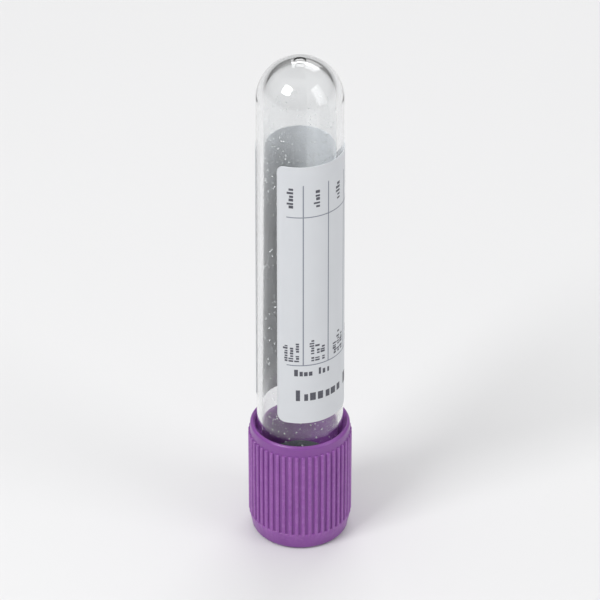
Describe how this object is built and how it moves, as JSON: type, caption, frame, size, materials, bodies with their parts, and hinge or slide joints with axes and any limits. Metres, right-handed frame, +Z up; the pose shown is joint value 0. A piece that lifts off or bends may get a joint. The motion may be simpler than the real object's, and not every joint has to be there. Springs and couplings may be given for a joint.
{
  "type": "blood collection tube",
  "caption": "Clear round-ended sample tube with a wrapped paper label, closed by a rubber stopper held in a ribbed violet safety cap; it stands on the cap's flat top and pulls out of the cap.",
  "frame": {"origin": "in the middle of the cap's flat top, on the surface that the tube stands on", "axes": "+Z up the tube's own axis, from its cap to its round closed end; seen from -Y, the label's clear window is at the left front, its middle 62.5 degrees towards -X"},
  "size_m": [0.0156, 0.0156, 0.0806],
  "materials": {
    "clear_plastic": "gloss",
    "stopper_rubber": "matte",
    "violet_plastic": "satin",
    "label_paper": "satin",
    "dried_additive": "satin"
  },
  "bodies": {
    "closure": {"shield": "violet_plastic", "stopper": "stopper_rubber"},
    "tube": {"tube": "clear_plastic", "label": "label_paper"}
  },
  "joints": [
    {"name": "closure_pull", "type": "slide", "parent": "closure", "child": "tube", "axis": [0, 0, 1], "range_m": [0, 0.025]}
  ]
}
